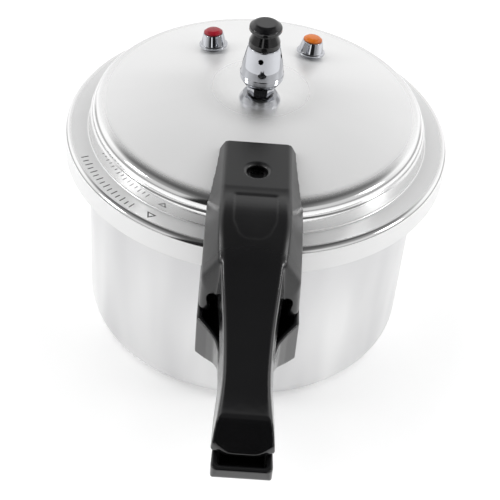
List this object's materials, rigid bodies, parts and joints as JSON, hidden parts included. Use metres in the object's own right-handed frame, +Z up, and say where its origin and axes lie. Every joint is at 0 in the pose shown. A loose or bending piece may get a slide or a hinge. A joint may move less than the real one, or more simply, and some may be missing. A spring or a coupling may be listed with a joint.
{
  "type": "pressure cooker",
  "caption": "Household pressure cooker: aluminium pot and twist-lock domed lid with weight regulator, overpressure plugs and a long black two-part handle.",
  "frame": {"origin": "centre of the pot's flat base, on the surface it stands on", "axes": "+Z up along the pot's axis; the handle points along -Y; +X is to the right when looking along +Y from the handle"},
  "size_m": [0.234, 0.3715, 0.211],
  "materials": {
    "spun_aluminium": "satin, spun",
    "lid_aluminium": "polished, spun",
    "chrome": "polished",
    "black_phenolic": "moulded, semi-gloss",
    "black_knob": "moulded, gloss",
    "black_nylon": "moulded, matt",
    "steel": "satin",
    "zinc_insert": "cast",
    "red_silicone": "satin",
    "orange_silicone": "satin",
    "gasket_silicone": "satin"
  },
  "bodies": {
    "pot": {"pot_body": "spun_aluminium", "pot_handle_bracket": "steel", "pot_bracket_rivets": "steel", "lower_handle": "black_phenolic", "lower_handle_screw": "steel", "lower_handle_washer": "steel"},
    "lid": {"lid_shell": "lid_aluminium", "sealing_gasket": "gasket_silicone", "vent_pipe": "steel", "vent_pipe_washer": "gasket_silicone", "vent_pipe_nut": "chrome", "strainer_cap": "steel", "float_sleeve": "steel", "float_sleeve_nut": "steel", "lid_handle_bracket": "steel", "lid_bracket_rivets": "steel", "upper_handle": "black_phenolic", "upper_handle_screws": "steel", "handle_cover": "black_phenolic", "interlock_spring": "steel", "red_valve_nut": "chrome", "red_valve_plug": "red_silicone", "red_valve_seat": "steel", "orange_valve_nut": "chrome", "orange_valve_plug": "orange_silicone", "orange_valve_seat": "steel"},
    "float_pin": {"float_pin": "black_nylon", "float_seal": "gasket_silicone"},
    "interlock": {"interlock_slide": "black_nylon"},
    "needle": {"regulator_needle": "steel"},
    "regulator": {"regulator_shell": "chrome", "regulator_base": "zinc_insert", "regulator_clip": "steel", "regulator_plug": "zinc_insert", "regulator_stud": "steel", "regulator_knob": "black_knob"}
  },
  "joints": [
    {"name": "lid_turn", "type": "hinge", "parent": "pot", "child": "lid", "pos_m": [0, 0, 0.125], "axis": [0, 0, 1], "range_deg": [0, 32]},
    {"name": "float_pin_rise", "type": "slide", "parent": "lid", "child": "float_pin", "axis": [0, 0, 1], "range_m": [0, 0.0053]},
    {"name": "interlock_travel", "type": "slide", "parent": "lid", "child": "interlock", "axis": [0, -1, 0], "range_m": [0, 0.005], "stiffness_N_per_m": 300, "springref_m": -0.004, "deforming": ["interlock_spring"]},
    {"name": "regulator_lift", "type": "slide", "parent": "lid", "child": "needle", "axis": [0, 0, 1], "range_m": [0, 0.012]},
    {"name": "regulator_spin", "type": "hinge", "parent": "needle", "child": "regulator", "pos_m": [0, 0, 0.18], "axis": [0, 0, 1], "continuous": true}
  ]
}
